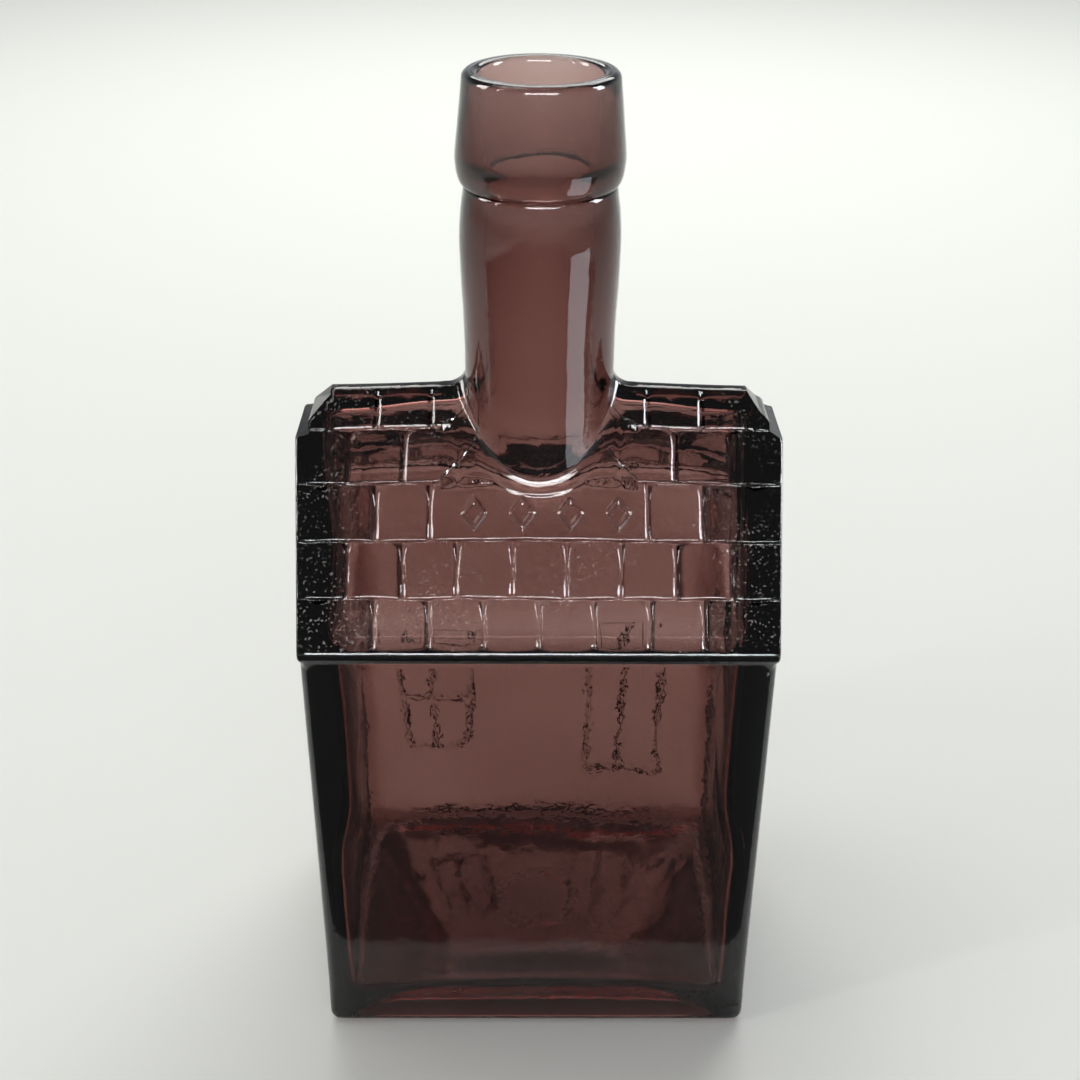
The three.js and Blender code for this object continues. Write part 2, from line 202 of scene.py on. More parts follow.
class CabinSizes(bpy.types.PropertyGroup):
    """Outside of the cabin."""

    width: length("Width", "Across the walls, along the ridge", 91.2)
    depth: length("Depth", "From the front wall to the back wall", 70)
    corner: length("Corner", "Radius of the upright corners", 3.2)
    heel: length("Heel", "Radius round the foot", 2.6)
    eave_height: length("Eave height", "Top of the eave's lip", 98.4)
    eave_reach: length("Eave reach", "How far the eave stands out over the wall", 1.09)
    eave_turn: angle_prop("Eave turn", "Angle under the horizon at which the nose of the eave runs out", 34)
    eave_round: length("Eave round", "Radius of the eave's nose", 1.9)
    gable_lean: length("Gable lean", "How far the gables lean out at the ridge bevels", 1.46)
    rake_round: length("Rake round", "Radius of the roof's edges at the gables", 0.8)
    ridge_height: length("Ridge height", "Top of the ridge", 137)
    ridge_flat: length("Ridge flat", "Width of the flat along the ridge", 2.6)
    ridge_round: length("Ridge round", "Radius of the ridge's long edges", 0.7)
    bevel_run: length("Ridge bevel run", "Length that the end bevels take off the ridge", 7.6)
    bevel_drop: length("Ridge bevel drop", "Height that the end bevels take off the gables", 8.6)
    ridge_rise: length("Ridge rise", "How far the ridge climbs towards the neck", 1.4)
    ridge_rise_width: length("Ridge rise width", "How far along the ridge the climb goes", 27)


class ShingleSizes(bpy.types.PropertyGroup):
    """Relief of the roof."""

    pitch: length("Pitch", "Width of one shingle", 10.42)
    step: length("Course step", "How far a course stands over the next one", 0.45)
    lip: length("Lower lip", "Extra height along a course's lower edge", 0.22)
    nose: length("Worn edge", "How far the lower edge of a course is worn to a slant", 0.62)
    nose_slant: angle_prop("Worn slant", "Angle between the worn edge and the slope", 17)
    joint: length("Joint width", "Width of an upright joint", 0.9)
    joint_depth: length("Joint depth", "Depth of an upright joint", 0.52)
    corner: length("Corner", "Radius of a shingle's upper corners", 2.6)
    pillow: length("Pillow", "How far the middle of a shingle stands out", 0.12)
    wander: length("Wander", "How far the courses and joints stray by hand", 0.35)
    panel_width: length("Panel width", "Plain panel in the third course", 35.5)
    panel_place: length("Panel place", "Middle of the plain panel, along the ridge", 2.6)
    lozenge_width: length("Lozenge width", "Across one raised lozenge", 5.4)
    lozenge_height: length("Lozenge height", "Down one raised lozenge", 7.4)
    lozenge_relief: length("Lozenge relief", "How far a lozenge stands out", 0.8)
    lozenge_spacing: length("Lozenge spacing", "From one lozenge to the next", 9.2)
    lozenge_place: length("Lozenge place", "Middle of the row of lozenges, along the ridge", 1.4)


class NeckSizes(bpy.types.PropertyGroup):
    """Neck, mouth and collar."""

    height: length("Height", "Top of the mouth", 197)
    mouth: length("Mouth", "Radius of the bore inside the collar", 11)
    bore: length("Bore", "Radius of the bore in the neck", 9.9)
    ledge: length("Ledge", "Height at which the bore narrows", 181)
    foot: length("Foot radius", "Radius of the neck over its foot", 14.35)
    fillet: length("Fillet", "Radius of the hollow round the neck's foot, along the ridge", 3.4)
    slope_fillet: length("Slope fillet", "Radius of the hollow round the neck's foot, on the slopes", 1.4)
    belly: length("Belly", "Widest radius of the neck", 15)
    top: length("Top radius", "Radius of the neck under its collar", 14.1)
    mouth_round: length("Mouth round", "Radius of the mouth's inner edge", 1.1)
    collar_height: length("Collar height", "From the collar's lower edge to the mouth", 19.6)
    collar_seat: length("Collar seat", "Radius of the neck inside the collar", 12.7)
    collar_foot: length("Collar foot", "Radius at the collar's lower edge", 14.2)
    collar_widest: length("Collar widest", "Widest radius of the collar", 15.65)
    collar_lip: length("Collar lip", "Radius of the collar at the mouth", 14.3)
    lip_round: length("Lip round", "Radius of the collar's upper edge", 1.3)
    fused: length("Fused depth", "How deep laid-on glass is sunk into the flask", 0.05)


class HollowSizes(bpy.types.PropertyGroup):
    """Thickness of the glass, and the push-up."""

    side: length("Gable wall", "Thickness of the gable walls", 5.2)
    low_side: length("Low gable wall", "Thickness of the gable walls near the foot", 2.5)
    face: length("Face wall", "Thickness of the front and back walls", 3.7)
    roof: length("Roof", "Thickness of the slopes", 3.2)
    roof_belly: length("Roof belly", "How much thicker the slopes are halfway down", 1.5)
    roof_thin: length("Ridge climb", "How far the ceiling climbs towards the neck", 2.2)
    roof_ends: length("Ridge ends", "How much wider the hollow is under the ridge", 2.4)
    floor: length("Floor", "Thickness of the floor", 5.2)
    thick_above: length("Thick above", "Height above which the gable walls are thick", 60)
    thin_below: length("Thin below", "Height under which the gable walls are thin", 44)
    corner: length("Corner", "Radius of the hollow's upright corners", 5.5)
    ceiling_round: length("Ceiling round", "Rounding under the ridge", 1.6)
    edge_round: length("Edge round", "Rounding from the ceiling into the gable walls", 5)
    eave_step: length("Eave step", "How far the hollow steps out over the eave", 1.5)
    floor_round: length("Floor round", "Rounding from the walls into the floor", 5)
    throat: length("Throat", "Rounding from the bore into the ceiling", 7.5)
    ripple: length("Ripple", "How uneven the blown inner wall is", 0.4)
    foot_band: length("Foot band", "Width of the flat band that the flask stands on", 4.5)
    kick: length("Push-up", "Height of the push-up", 5.5)
    kick_top: length("Push-up top", "Width of the flat top of the push-up", 28)


class GlassLooks(bpy.types.PropertyGroup):
    """Colour and surface of the glass."""

    tint: colour_prop("Tint", "Colour that the glass lets through", (0.52, 0.27, 0.23))
    density: number_prop("Density", "Absorption of the glass for each metre", 420, 0)
    scar_tint: colour_prop(
        "Scar tint", "Colour that the broken glass of the scar lets through", (0.85, 0.55, 0.38))
    shade: colour_prop("Shade", "Share of the light that each face lets into the shadow", (0.62, 0.52, 0.5))
    refraction: number_prop("Refraction", "Index of refraction", 1.5, 1)


class StageLooks(bpy.types.PropertyGroup):
    """Camera, floor and light."""

    pitch: angle_prop("Pitch", "How far the camera looks down", 31.15)
    turn: angle_prop("Turn", "How far the camera stands to the left", -0.49)
    roll: angle_prop("Roll", "How far the picture leans", 0.4)
    distance: length("Distance", "From the camera to the point that it looks at", 320)
    aim_height: length("Aim height", "Height of the point that the camera looks at", 90)
    aim_place: length("Aim place", "How far the point that the camera looks at lies to the right", 0.43)
    lens: bpy.props.FloatProperty(name="Lens", description="Focal length in millimetres", default=50.6)
    shift: bpy.props.FloatProperty(name="Shift", description="Upward shift of the frame", default=0.0503)
    floor: colour_prop("Floor", "Colour of the floor", (0.79, 0.80, 0.77))
    sky: colour_prop("Room", "Colour of the light from all round", (0.93, 0.96, 1.0))
    horizon: number_prop("Horizon", "Strength of the light at eye level", 0.75, 0)
    overhead: number_prop("Overhead", "Strength of the light from above", 0.16, 0)


def smooth(low, high, value):
    """A soft step from 0 at low to 1 at high."""
    share = min(max((value - low) / (high - low), 0), 1)
    return share * share * (3 - 2 * share)


def mix(a, b, share):
    return a + (b - a) * share


def wave(x, y, z, size, seed=0):
    """Smooth noise from -1 to 1, with bumps of about that size."""
    return noise.noise(Vector((x / size + seed, y / size, z / size)))


def roof_facts(cabin):
    """Run, drop and length of a slope, from the ridge's flat to the tip of the eave."""
    run = cabin.depth / 2 + cabin.eave_reach - cabin.ridge_flat / 2
    drop = cabin.ridge_height - cabin.eave_height
    return run, drop, math.hypot(run, drop)


def lean_at(cabin, z):
    """How far a gable end leans out over the walls at a height."""
    rise = cabin.ridge_height - cabin.bevel_drop - cabin.eave_height
    return cabin.gable_lean * max(z - cabin.eave_height, 0) / rise


def rise_at(cabin, x, share):
    """How far the ridge climbs towards the neck, fading down the slope."""
    return cabin.ridge_rise * (1 - share) * math.exp(-((x / cabin.ridge_rise_width) ** 2))


def roof_height(cabin, x, y):
    """Height of the roof over a point of the plan, and the share down the slope."""
    run, drop, _ = roof_facts(cabin)
    share = min(max((abs(y) - cabin.ridge_flat / 2) / run, 0), 1)
    return cabin.ridge_height - drop * share + rise_at(cabin, x, share), share


def shingle_relief(shingles, slope, x, down, front):
    """How far a slope stands proud of its plane at a point: courses, joints and lozenges."""
    reached = down / slope + TINY
    course = max(k for k in range(len(COURSE_SHARES) - 1) if k == 0 or reached > COURSE_SHARES[k])
    height = (COURSE_SHARES[course + 1] - COURSE_SHARES[course]) * slope
    share = (down - COURSE_SHARES[course] * slope) / height
    sink = 0 if course == 0 else shingles.step * (1 - share)
    column = x / shingles.pitch + (0.5 if course % 2 else 0)
    across = abs(column - round(column)) * shingles.pitch
    plain = front and course == PANEL_COURSE and abs(x - shingles.panel_place) < shingles.panel_width / 2
    worn = max(shingles.nose - (1 - share) * height, 0)
    relief = shingles.lip * smooth(LIP_START, LIP_FULL, (1 - share) * height) - sink
    relief -= worn * math.tan(shingles.nose_slant)
    if not plain:
        middle = 1 - 2 * across / shingles.pitch
        relief += shingles.pillow * (1 - middle ** 2) - shingles.pillow
        relief -= shingles.joint_depth * math.exp(-((across / (shingles.joint * JOINT_SHARE)) ** 2))
        corner = max(shingles.corner - across, 0), max(shingles.corner - share * height, 0)
        if min(corner) > 0 and course > 0:
            outside = math.hypot(*corner) - shingles.corner
            relief -= shingles.joint_depth * CORNER_SHARE * smooth(-CORNER_SOFT, CORNER_SOFT, outside)
    return relief


def lozenge_relief(shingles, x, down):
    """Four plain raised lozenges in a row, each with a bead along its edge."""
    width, height = shingles.lozenge_width / 2, shingles.lozenge_height / 2
    tallest = 0
    for i in range(LOZENGES):
        place = shingles.lozenge_place + (i - (LOZENGES - 1) / 2) * shingles.lozenge_spacing
        edge = abs(x - place) / width + abs(down) / height
        inside = (1 - edge) * width * height / math.hypot(width, height)
        bead = math.exp(-(((inside - LOZENGE_BEAD_PLACE) / LOZENGE_BEAD) ** 2))
        tallest = max(tallest, FACE_SHARE * smooth(*LOZENGE_EDGE, inside) + (1 - FACE_SHARE) * bead)
    return shingles.lozenge_relief * tallest


def raise_lozenges(bm, cabin, shingles):
    """Splits the front slope finely at its lozenges, and raises them."""
    run, drop, slope = roof_facts(cabin)
    out = Vector((0, -drop / slope, run / slope))
    middle = (COURSE_SHARES[PANEL_COURSE] + COURSE_SHARES[PANEL_COURSE + 1]) / 2 * slope

    def place_of(point):
        ridge = Vector((point.x, -cabin.ridge_flat / 2, cabin.ridge_height))
        return (point - ridge).dot(out), (ridge - point).dot(Vector((0, run / slope, drop / slope))) - middle

    def near(point):
        proud, down = place_of(point)
        if abs(proud) > ROOF_SKIN or abs(down) > shingles.lozenge_height / 2 + LOZENGE_MARGIN:
            return False
        return any(lozenge_relief(shingles, point.x + shift, down * 0.9) > 0.01 * MM
                   for shift in (-LOZENGE_REACH, 0, LOZENGE_REACH))

    faces = [face for face in bm.faces if face.normal.dot(out) > 0.5 and near(face.calc_center_median())]
    edges = {edge for face in faces for edge in face.edges}
    bmesh.ops.subdivide_edges(bm, edges=list(edges), cuts=2, use_grid_fill=True)
    for vert in bm.verts:
        proud, down = place_of(vert.co)
        if abs(proud) < ROOF_SKIN:
            vert.co += out * lozenge_relief(shingles, vert.co.x, down)


# Window and door on the back wall: left, right, sill, head and bars
BEAD = 1.3 * MM
BEAD_RELIEF = 0.7 * MM
OPENING_ROUND = 2.4 * MM
OPENINGS = (
    (-33 * MM, -16 * MM, 25.5 * MM, 58 * MM, ("upright", "level")),
    (12.25 * MM, 30.75 * MM, 16 * MM, 66 * MM, ("upright",)),
)


def from_line(x, z):
    """How far a point of the back wall is from the nearest line of the window or the door."""
    nearest = 1
    for left, right, low, high, bars in OPENINGS:
        middle_x, middle_z = (left + right) / 2, (low + high) / 2
        reach_x = abs(x - middle_x) - (right - left) / 2 + OPENING_ROUND
        reach_z = abs(z - middle_z) - (high - low) / 2 + OPENING_ROUND
        outside = math.hypot(max(reach_x, 0), max(reach_z, 0)) + min(max(reach_x, reach_z), 0) - OPENING_ROUND
        lines = [abs(outside + BEAD / 2)]
        if outside < 0:
            lines += [abs(x - middle_x) if bar == "upright" else abs(z - middle_z) for bar in bars]
        nearest = min(nearest, *lines)
    return nearest


class Row:
    """One row of the cabin's skin: a point of the gable's outline, and how it ends."""

    def __init__(self, y, z, out, reach, corner, part, down=0.0):
        self.y, self.z, self.out = y, z, Vector(out)
        self.reach, self.corner, self.part, self.down = reach, corner, part, down

    def mirrored(self):
        out = -self.out[0], self.out[1]
        return Row(-self.y, self.z, out, self.reach, self.corner, self.part, self.down)


def half_outline(cabin, hollow):
    """Rows from the ridge's middle down one slope and wall to the middle of the foot."""
    run, drop, slope = roof_facts(cabin)
    wall_reach = cabin.width / 2
    lean = Vector((drop / slope, run / slope))
    rows = [Row(0, cabin.ridge_height, (0, 1), wall_reach, cabin.ridge_round, "ridge")]

    def arc(y, z, radius, first, last, steps, corner, part):
        for i in range(steps + 1):
            turn = mix(first, last, i / steps)
            out = (math.cos(turn), math.sin(turn))
            rows.append(Row(y + radius * out[0], z + radius * out[1], out, wall_reach, corner, part))

    slant = math.atan2(lean[1], lean[0])
    flat_edge = cabin.ridge_flat / 2
    tangent = cabin.ridge_round * math.tan((QUARTER - slant) / 2)
    arc(flat_edge - tangent, cabin.ridge_height - cabin.ridge_round, cabin.ridge_round,
        QUARTER, slant, RIDGE_STEPS, cabin.ridge_round, "ridge")
    eave_tangent = cabin.eave_round * math.tan(slant / 2)
    downs = [slope * mix(high, low, share) for high, low in zip(COURSE_SHARES, COURSE_SHARES[1:])
             for share in COURSE_ROWS]
    for down in downs:
        if tangent * RIDGE_CLEAR < down < slope - eave_tangent * EAVE_CLEAR:
            rows.append(Row(flat_edge + run * down / slope, cabin.ridge_height - drop * down / slope,
                            lean, wall_reach, cabin.rake_round, "slope", down))
    tip = cabin.depth / 2 + cabin.eave_reach
    nose = tip - cabin.eave_round, cabin.eave_height - eave_tangent
    arc(*nose, cabin.eave_round, slant, -cabin.eave_turn, NOSE_STEPS, cabin.rake_round, "eave")
    left = nose[0] + cabin.eave_round * math.cos(cabin.eave_turn) - cabin.depth / 2
    hollow_round = left / (1 - math.cos(cabin.eave_turn))
    wall_top = nose[1] - (cabin.eave_round + hollow_round) * math.sin(cabin.eave_turn)
    for i in range(1, UNDER_STEPS):
        share = i / UNDER_STEPS
        turn = cabin.eave_turn * (1 - share)
        y = cabin.depth / 2 + hollow_round * (1 - math.cos(turn))
        z = wall_top + hollow_round * math.sin(turn)
        corner = mix(cabin.rake_round, cabin.corner, share)
        rows.append(Row(y, z, (math.cos(turn), -math.sin(turn)), wall_reach, corner, "under"))
    heights = [wall_top - step for step in WALL_TOP_DROPS]
    while heights[-1] > WALL_LOW:
        heights.append(heights[-1] - WALL_STEP)
    foot_corner = cabin.heel * HEEL_SHARE
    for height in (*heights, *WALL_LOW_HEIGHTS):
        corner = mix(foot_corner, cabin.corner, smooth(cabin.heel, HEEL_CALM, height))
        rows.append(Row(cabin.depth / 2, height, (1, 0), wall_reach, corner, "wall"))
    arc(cabin.depth / 2 - cabin.heel, cabin.heel, cabin.heel, 0, -QUARTER, HEEL_STEPS, foot_corner, "foot")
    edge = cabin.depth / 2 - hollow.foot_band
    for reach in FOOT_REACHES:
        rows.append(Row(min(reach, edge + reach - FOOT_EDGE), 0, (0, -1), wall_reach, foot_corner, "foot"))
    return rows


def columns_of(cabin, shingles):
    """Columns from gable to gable, crowded at the joints, without the round ends."""
    inner = cabin.width / 2 - cabin.corner - COLUMN_MARGIN
    half = shingles.pitch / 2
    places = [half * (k + share) for k in range(HALF_SHINGLES) for share in COLUMN_SHARES]
    places = [place for place in places if place < inner]
    return [-place for place in reversed(places[1:])] + places


def push_up(cabin, hollow, x, y):
    """Height of the push-up over a point of the foot."""
    def share_in(size, place):
        edge = size / 2 - hollow.foot_band
        return (edge - abs(place)) / (edge - hollow.kick_top / 2)

    share = min(max(min(share_in(cabin.width, x), share_in(cabin.depth, y)), 0), 1)
    return hollow.kick * (share * (2 - share)) ** 0.8


def skin_point(sizes, row, x, turn):
    """Where the cabin's outside lies. Turn is 0 inside, and runs to 1 round the gable's edge."""
    cabin, shingles, hollow = sizes
    run, drop, slope = roof_facts(cabin)
    inset = row.corner * (1 - math.cos(turn * QUARTER))
    if turn > 0:
        x = math.copysign(row.reach - row.corner * (1 - math.sin(turn * QUARTER)), x)
    elif abs(x) > COLUMNS_KEPT:
        limit = cabin.width / 2 - cabin.corner
        spread = (row.reach - row.corner - COLUMNS_KEPT) / (limit - COLUMNS_KEPT)
        x = math.copysign(mix(COLUMNS_KEPT, abs(x), spread), x)
    front = row.y < 0
    side = -1 if front else 1
    proud = -inset
    y, z = row.y, row.z
    if row.part == "slope":
        relief = shingle_relief(shingles, slope, x, row.down, front)
        end = cabin.width / 2 + cabin.gable_lean
        inside = (end - cabin.bevel_run - abs(x)) * cabin.bevel_drop
        inside += (cabin.ridge_height - z) * cabin.bevel_run
        fade = smooth(0, ROOF_FADE, row.down) * smooth(0, RAKE_FADE, row.reach - abs(x))
        fade *= smooth(0, ROOF_FADE, inside / math.hypot(cabin.bevel_run, cabin.bevel_drop))
        proud += relief * fade
        z += rise_at(cabin, x, row.down / slope)
        stray = shingles.wander * smooth(*STRAY_START, max(abs(x), abs(y)))
        stray *= smooth(slope, slope - STRAY_EDGE, row.down) * smooth(*STRAY_END, abs(x))
        slide = stray * wave(x, y, z, 9 * MM, 3)
        x += stray * wave(x, y, z, 7 * MM, 11)
        y += side * slide * run / slope
        z -= slide * drop / slope
    elif row.part == "ridge":
        z += rise_at(cabin, x, 0)
    elif row.part == "wall":
        calm = smooth(*WALL_CALM_FOOT, row.z) * smooth(*WALL_CALM_EAVE, row.z)
        calm *= smooth(*WALL_CALM_ENDS, abs(x))
        proud += WALL_RIPPLE * calm * wave(x, y, z, 22 * MM, 7)
    elif row.part == "foot" and row.z == 0:
        z += push_up(cabin, hollow, x, y)
    return Vector((x, y + row.out[0] * proud, z + row.out[1] * proud))


def cabin_skin(sizes):
    """The outside of the cabin as one grid, wrapped round and closed at the gables."""
    cabin, shingles, hollow = sizes
    half = half_outline(cabin, hollow)
    for row in half:
        row.reach += lean_at(cabin, row.z)
    rows = list(reversed(half)) + [row.mirrored() for row in half[1:]]
    inner = columns_of(cabin, shingles)
    ends = [(i + 1) / END_COLUMNS for i in range(END_COLUMNS)]
    columns = [(-1, turn) for turn in reversed(ends)] + [(x, 0) for x in inner] + [(1, turn) for turn in ends]
    bm = bmesh.new()
    bmesh.ops.create_grid(bm, x_segments=len(columns) - 1, y_segments=len(rows) - 1, size=1)
    column_of = bm.verts.layers.int.new("column")
    row_of = bm.verts.layers.int.new("row")
    for vert in bm.verts:
        i = round((vert.co.x + 1) / 2 * (len(columns) - 1))
        j = round((vert.co.y + 1) / 2 * (len(rows) - 1))
        vert[column_of], vert[row_of] = i, j
        vert.co = skin_point(sizes, rows[j], *columns[i])
    seam = [vert for vert in bm.verts if vert[row_of] in (0, len(rows) - 1)]
    bmesh.ops.remove_doubles(bm, verts=seam, dist=0.001 * MM)
    for end in (0, len(columns) - 1):
        edges = [edge for edge in bm.edges
                 if edge.is_boundary and all(vert[column_of] == end for vert in edge.verts)]
        bmesh.ops.edgeloop_fill(bm, edges=edges)
        for part, outermost in (("under", min), ("wall", max)):
            height = outermost(row.z for row in rows if row.part == part)
            picked = {j for j, row in enumerate(rows) if row.part == part and row.z == height}
            pair = [vert for vert in bm.verts if vert[column_of] == end and vert[row_of] in picked]
            bmesh.ops.connect_verts(bm, verts=pair)
    bmesh.ops.recalc_face_normals(bm, faces=bm.faces[:])
    for face in bm.faces:
        face.smooth = len(face.verts) < 5
    raise_openings(bm, cabin)
    cut_ridge_ends(bm, cabin)
    return bm, open_neck(bm, rows, len(columns) - 1)


def raise_openings(bm, cabin):
    """Splits the back wall finely along the lines of its window and door, and raises them."""
    wall = cabin.depth / 2
    near = [face for face in bm.faces if len(face.verts) == 4 and face.normal.y > 0.99
            and from_line(face.calc_center_median().x, face.calc_center_median().z) < 1.25 * MM]
    edges = {edge for face in near for edge in face.edges}
    bmesh.ops.subdivide_edges(bm, edges=list(edges), cuts=2, use_grid_fill=True)
    for vert in bm.verts:
        if vert.co.y > wall - 0.5 * MM and vert.co.z < cabin.eave_height - 10 * MM:
            away = from_line(vert.co.x, vert.co.z)
            vert.co.y += BEAD_RELIEF * math.exp(-((away / (BEAD * 0.45)) ** 2))


def cut_ridge_ends(bm, cabin):
    """Bevels both ends of the ridge with one flat facet each."""
    end = cabin.width / 2 + cabin.gable_lean
    for side in (-1, 1):
        bmesh.ops.bisect_plane(
            bm, geom=bm.verts[:] + bm.edges[:] + bm.faces[:], dist=0.01 * MM,
            plane_co=(side * (end - cabin.bevel_run), 0, cabin.ridge_height),
            plane_no=(side * cabin.bevel_drop, 0, cabin.bevel_run), clear_outer=True)
        edges = [edge for edge in bm.edges if edge.is_boundary]
        for face in bmesh.ops.edgeloop_fill(bm, edges=edges)["faces"]:
            face.smooth = False


def open_neck(bm, rows, columns):
    """Takes out the roof under the neck, and gives the ring of edges round the opening."""
    column_of = bm.verts.layers.int["column"]
    row_of = bm.verts.layers.int["row"]
    middle = columns // 2
    taken = {j for j, row in enumerate(rows)
             if row.part == "ridge" or (row.part == "slope" and row.down < NECK_BLOCK_DOWN)}

    def under(face):
        return len(face.verts) == 4 and all(
            abs(vert[column_of] - middle) <= NECK_BLOCK_COLUMNS and vert[row_of] in taken
            for vert in face.verts)

    bmesh.ops.delete(bm, geom=[face for face in bm.faces if under(face)], context="FACES")
    return [edge for edge in bm.edges if edge.is_boundary]


def number_ring(bm, edges):
    """Numbers the points of a ring of edges, anticlockwise from the right."""
    turn_of = bm.verts.layers.int.new("turn")
    ring = {vert for edge in edges for vert in edge.verts}
    start = max(ring, key=lambda vert: vert.co.x - abs(vert.co.y) * 50)
    before, here, order = None, start, []
    while here is not start or not order:
        order.append(here)
        around = [edge.other_vert(here) for edge in here.link_edges if edge.is_boundary]
        ahead = [vert for vert in around if vert is not before]
        following = max(ahead, key=lambda vert: vert.co.y) if before is None else ahead[0]
        before, here = here, following
    for number, vert in enumerate(order):
        vert[turn_of] = number
    return [vert.co.copy() for vert in order]


def grow(bm, edges, places):
    """Extrudes a ring of edges once, and puts each new point where it belongs."""
    turn_of = bm.verts.layers.int["turn"]
    made = bmesh.ops.extrude_edge_only(bm, edges=edges)["geom"]
    fresh = {item for item in made if isinstance(item, bmesh.types.BMVert)}
    for vert in fresh:
        vert.co = places[vert[turn_of]]
    for face in (item for item in made if isinstance(item, bmesh.types.BMFace)):
        face.smooth = True
    edges = (item for item in made if isinstance(item, bmesh.types.BMEdge))
    return [edge for edge in edges if all(vert in fresh for vert in edge.verts)]


def rounded_rectangle(across, along, radius, share):
    """A point on a rounded rectangle, a share of the way round from the right."""
    side, top, bend = 2 * (along - radius), 2 * (across - radius), radius * QUARTER
    total = 2 * side + 2 * top + 4 * bend
    way = (share % 1) * total + side / 2
    for quarter in range(4):
        straight = side if quarter % 2 == 0 else top
        turn = Matrix.Rotation(quarter * QUARTER, 2)
        reach = Vector((across, along)) if quarter % 2 == 0 else Vector((along, across))
        if way <= straight:
            return turn @ Vector((reach.x, way - straight / 2))
        way -= straight
        if way <= bend:
            angle = way / radius
            centre = Vector((reach.x - radius, reach.y - radius))
            return turn @ (centre + radius * Vector((math.cos(angle), math.sin(angle))))
        way -= bend
    return Vector((across, 0))


def neck_outline(neck):
    """Radius and height of the neck, from over its foot to the mouth and down the bore."""
    seat = neck.height - neck.collar_height
    sunk = neck.collar_seat + neck.fused
    waist = (
        (neck.foot, 147), (neck.foot + 0.04 * MM, 150), (neck.foot + 0.2 * MM, 154),
        (neck.foot + 0.45 * MM, 158), (neck.belly - 0.06 * MM, 162.5), (neck.belly, 166.5),
        (neck.belly - 0.1 * MM, 169.5), (neck.belly - 0.35 * MM, 172.5), (neck.top + 0.22 * MM, 175),
        (neck.top, 176.4))
    points = [(radius, height * MM) for radius, height in waist]
    for i in range(1, TUCK_STEPS + 1):
        turn = i / TUCK_STEPS * QUARTER
        points.append((neck.top - TUCK * (1 - math.cos(turn)), seat - TUCK_DOWN + TUCK * math.sin(turn)))
    points += [(sunk, seat - 0.02 * MM), (sunk, seat + SUPPORT), (sunk, neck.height - 0.22 * MM),
               (sunk, neck.height - 0.12 * MM), (sunk - 0.12 * MM, neck.height)]
    for i in range(MOUTH_STEPS + 1):
        turn = i / MOUTH_STEPS * QUARTER
        points.append((neck.mouth + neck.mouth_round * (1 - math.sin(turn)),
                       neck.height - neck.mouth_round * (1 - math.cos(turn))))
    points += [(neck.mouth, neck.height - 5 * MM), (neck.mouth - 0.05 * MM, neck.ledge + 5 * MM)]
    wide = neck.mouth - 0.1 * MM
    for i in range(LEDGE_STEPS + 1):
        share = i / LEDGE_STEPS
        points.append((mix(wide, neck.bore, smooth(0, 1, share)), neck.ledge + (0.5 - share) * LEDGE_RISE))
    points += [(neck.bore, height * MM) for height in (177, 172, 166, 160, 154, 149, 145)]
    return points


def neck_rings(sizes, neck, ring):
    """Rings of points from the opened roof up the neck, over the mouth and down the bore."""
    cabin, shingles, _ = sizes
    _, _, slope = roof_facts(cabin)
    count = len(ring)
    start = [math.atan2(point.y, point.x) for point in ring]
    start = [angle + (2 * HALF_TURN if angle < -1e-4 else 0) for angle in start]
    even = [2 * HALF_TURN * i / count for i in range(count)]

    def over_roof(x, y, lift, relief):
        height, share = roof_height(cabin, x, y)
        proud = shingle_relief(shingles, slope, x, share * slope, y < 0) if relief else 0
        calm = smooth(0, ROOF_FADE, share * slope)
        return Vector((x, y, height + lift + proud * calm * relief * OVER_SLOPE))

    fillets = [mix(neck.slope_fillet, neck.fillet, math.cos(angle) ** 2) for angle in start]
    rings = []
    for j in range(1, FOOT_RINGS + 1):
        share = j / FOOT_RINGS
        places = []
        for point, angle, fillet in zip(ring, start, fillets):
            foot = neck.foot + fillet
            x = mix(point.x, foot * math.cos(angle), share)
            y = mix(point.y, foot * math.sin(angle), share)
            places.append(over_roof(x, y, 0, 1 - share ** 3))
        rings.append(places)
    for j in range(1, FILLET_RINGS + 1):
        turn = j / FILLET_RINGS * QUARTER
        places = []
        for angle, fillet in zip(start, fillets):
            radius = neck.foot + fillet * (1 - math.sin(turn))
            lift = fillet * (1 - math.cos(turn))
            places.append(over_roof(radius * math.cos(angle), radius * math.sin(angle), lift, 0))
        rings.append(places)
    outline = neck_outline(neck)
    low = [point.z for point in rings[-1]]
    for j in range(1, SHAFT_RINGS):
        share = j / SHAFT_RINGS
        places = []
        for i in range(count):
            angle = mix(start[i], even[i], share)
            height = mix(low[i], outline[0][1], share)
            places.append(Vector((neck.foot * math.cos(angle), neck.foot * math.sin(angle), height)))
        rings.append(places)
    seat = neck.height - neck.collar_height
    for radius, height in outline:
        places = []
        for angle in even:
            x, y = math.cos(angle), math.sin(angle)
            calm = NECK_RIPPLE * smooth(seat, seat - NECK_CALM, height)
            own = radius + calm * wave(x * 14 * MM, y * 14 * MM, height, 14 * MM, 19)
            places.append(Vector((own * x, own * y, height)))
        rings.append(places)
    return rings


def ceiling_height(cabin, hollow, x, y):
    """Height of the hollow's ceiling, under both slopes. Its ridge climbs towards the neck."""
    run, drop, slope = roof_facts(cabin)
    apex = cabin.ridge_height + (cabin.ridge_flat / 2) * drop / run - hollow.roof * slope / run
    low = apex - math.hypot(y, hollow.ceiling_round) * drop / run
    low -= hollow.roof_belly * math.sin(HALF_TURN * min(abs(y) / (cabin.depth / 2 - hollow.face), 1))
    return low + hollow.roof_thin * smooth(*CLIMB_ALONG, abs(x)) * smooth(*CLIMB_ACROSS, abs(y))


